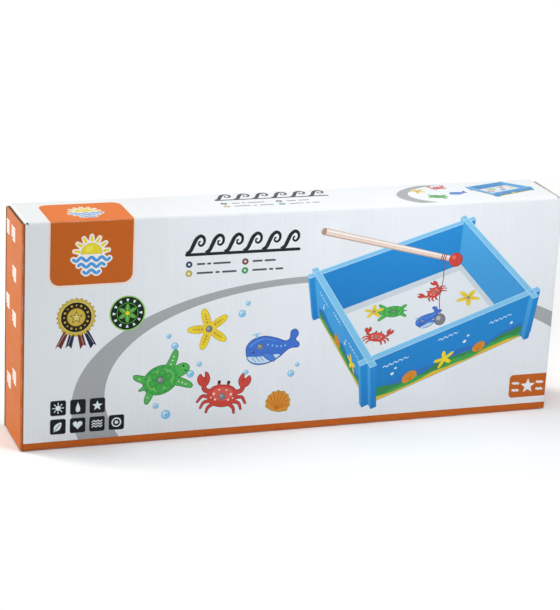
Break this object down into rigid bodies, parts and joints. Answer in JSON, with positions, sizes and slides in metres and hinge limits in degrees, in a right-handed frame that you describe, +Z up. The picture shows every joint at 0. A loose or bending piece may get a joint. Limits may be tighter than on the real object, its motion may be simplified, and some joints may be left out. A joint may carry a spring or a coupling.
{
  "type": "printed cardboard carton",
  "caption": "Long, slim tuck-end carton of printed fine-flute board, standing on its long edge, with hinged end flaps that tuck in behind the back panel.",
  "frame": {"origin": "middle of the carton's base, on the surface that it stands on", "axes": "+X along the carton's length, towards its right end as seen from the front; the printed front panel faces -Y; +Z up"},
  "size_m": [0.35, 0.046, 0.144],
  "materials": {
    "printed_board_white": "satin-varnished print on fine-flute corrugated board, kraft inside",
    "printed_board_orange": "satin-varnished orange print on fine-flute corrugated board, kraft inside"
  },
  "bodies": {
    "carton_sleeve": {"carton_sleeve": "printed_board_white"},
    "left_end_flap": {"left_end_flap": "printed_board_orange"},
    "right_end_flap": {"right_end_flap": "printed_board_orange"}
  },
  "joints": [
    {"name": "left_flap_hinge", "type": "hinge", "parent": "carton_sleeve", "child": "left_end_flap", "pos_m": [-0.175, -0.023, 0.072], "axis": [0, 0, 1], "range_deg": [0, 175]},
    {"name": "right_flap_hinge", "type": "hinge", "parent": "carton_sleeve", "child": "right_end_flap", "pos_m": [0.175, -0.023, 0.072], "axis": [0, 0, -1], "range_deg": [0, 175]}
  ]
}
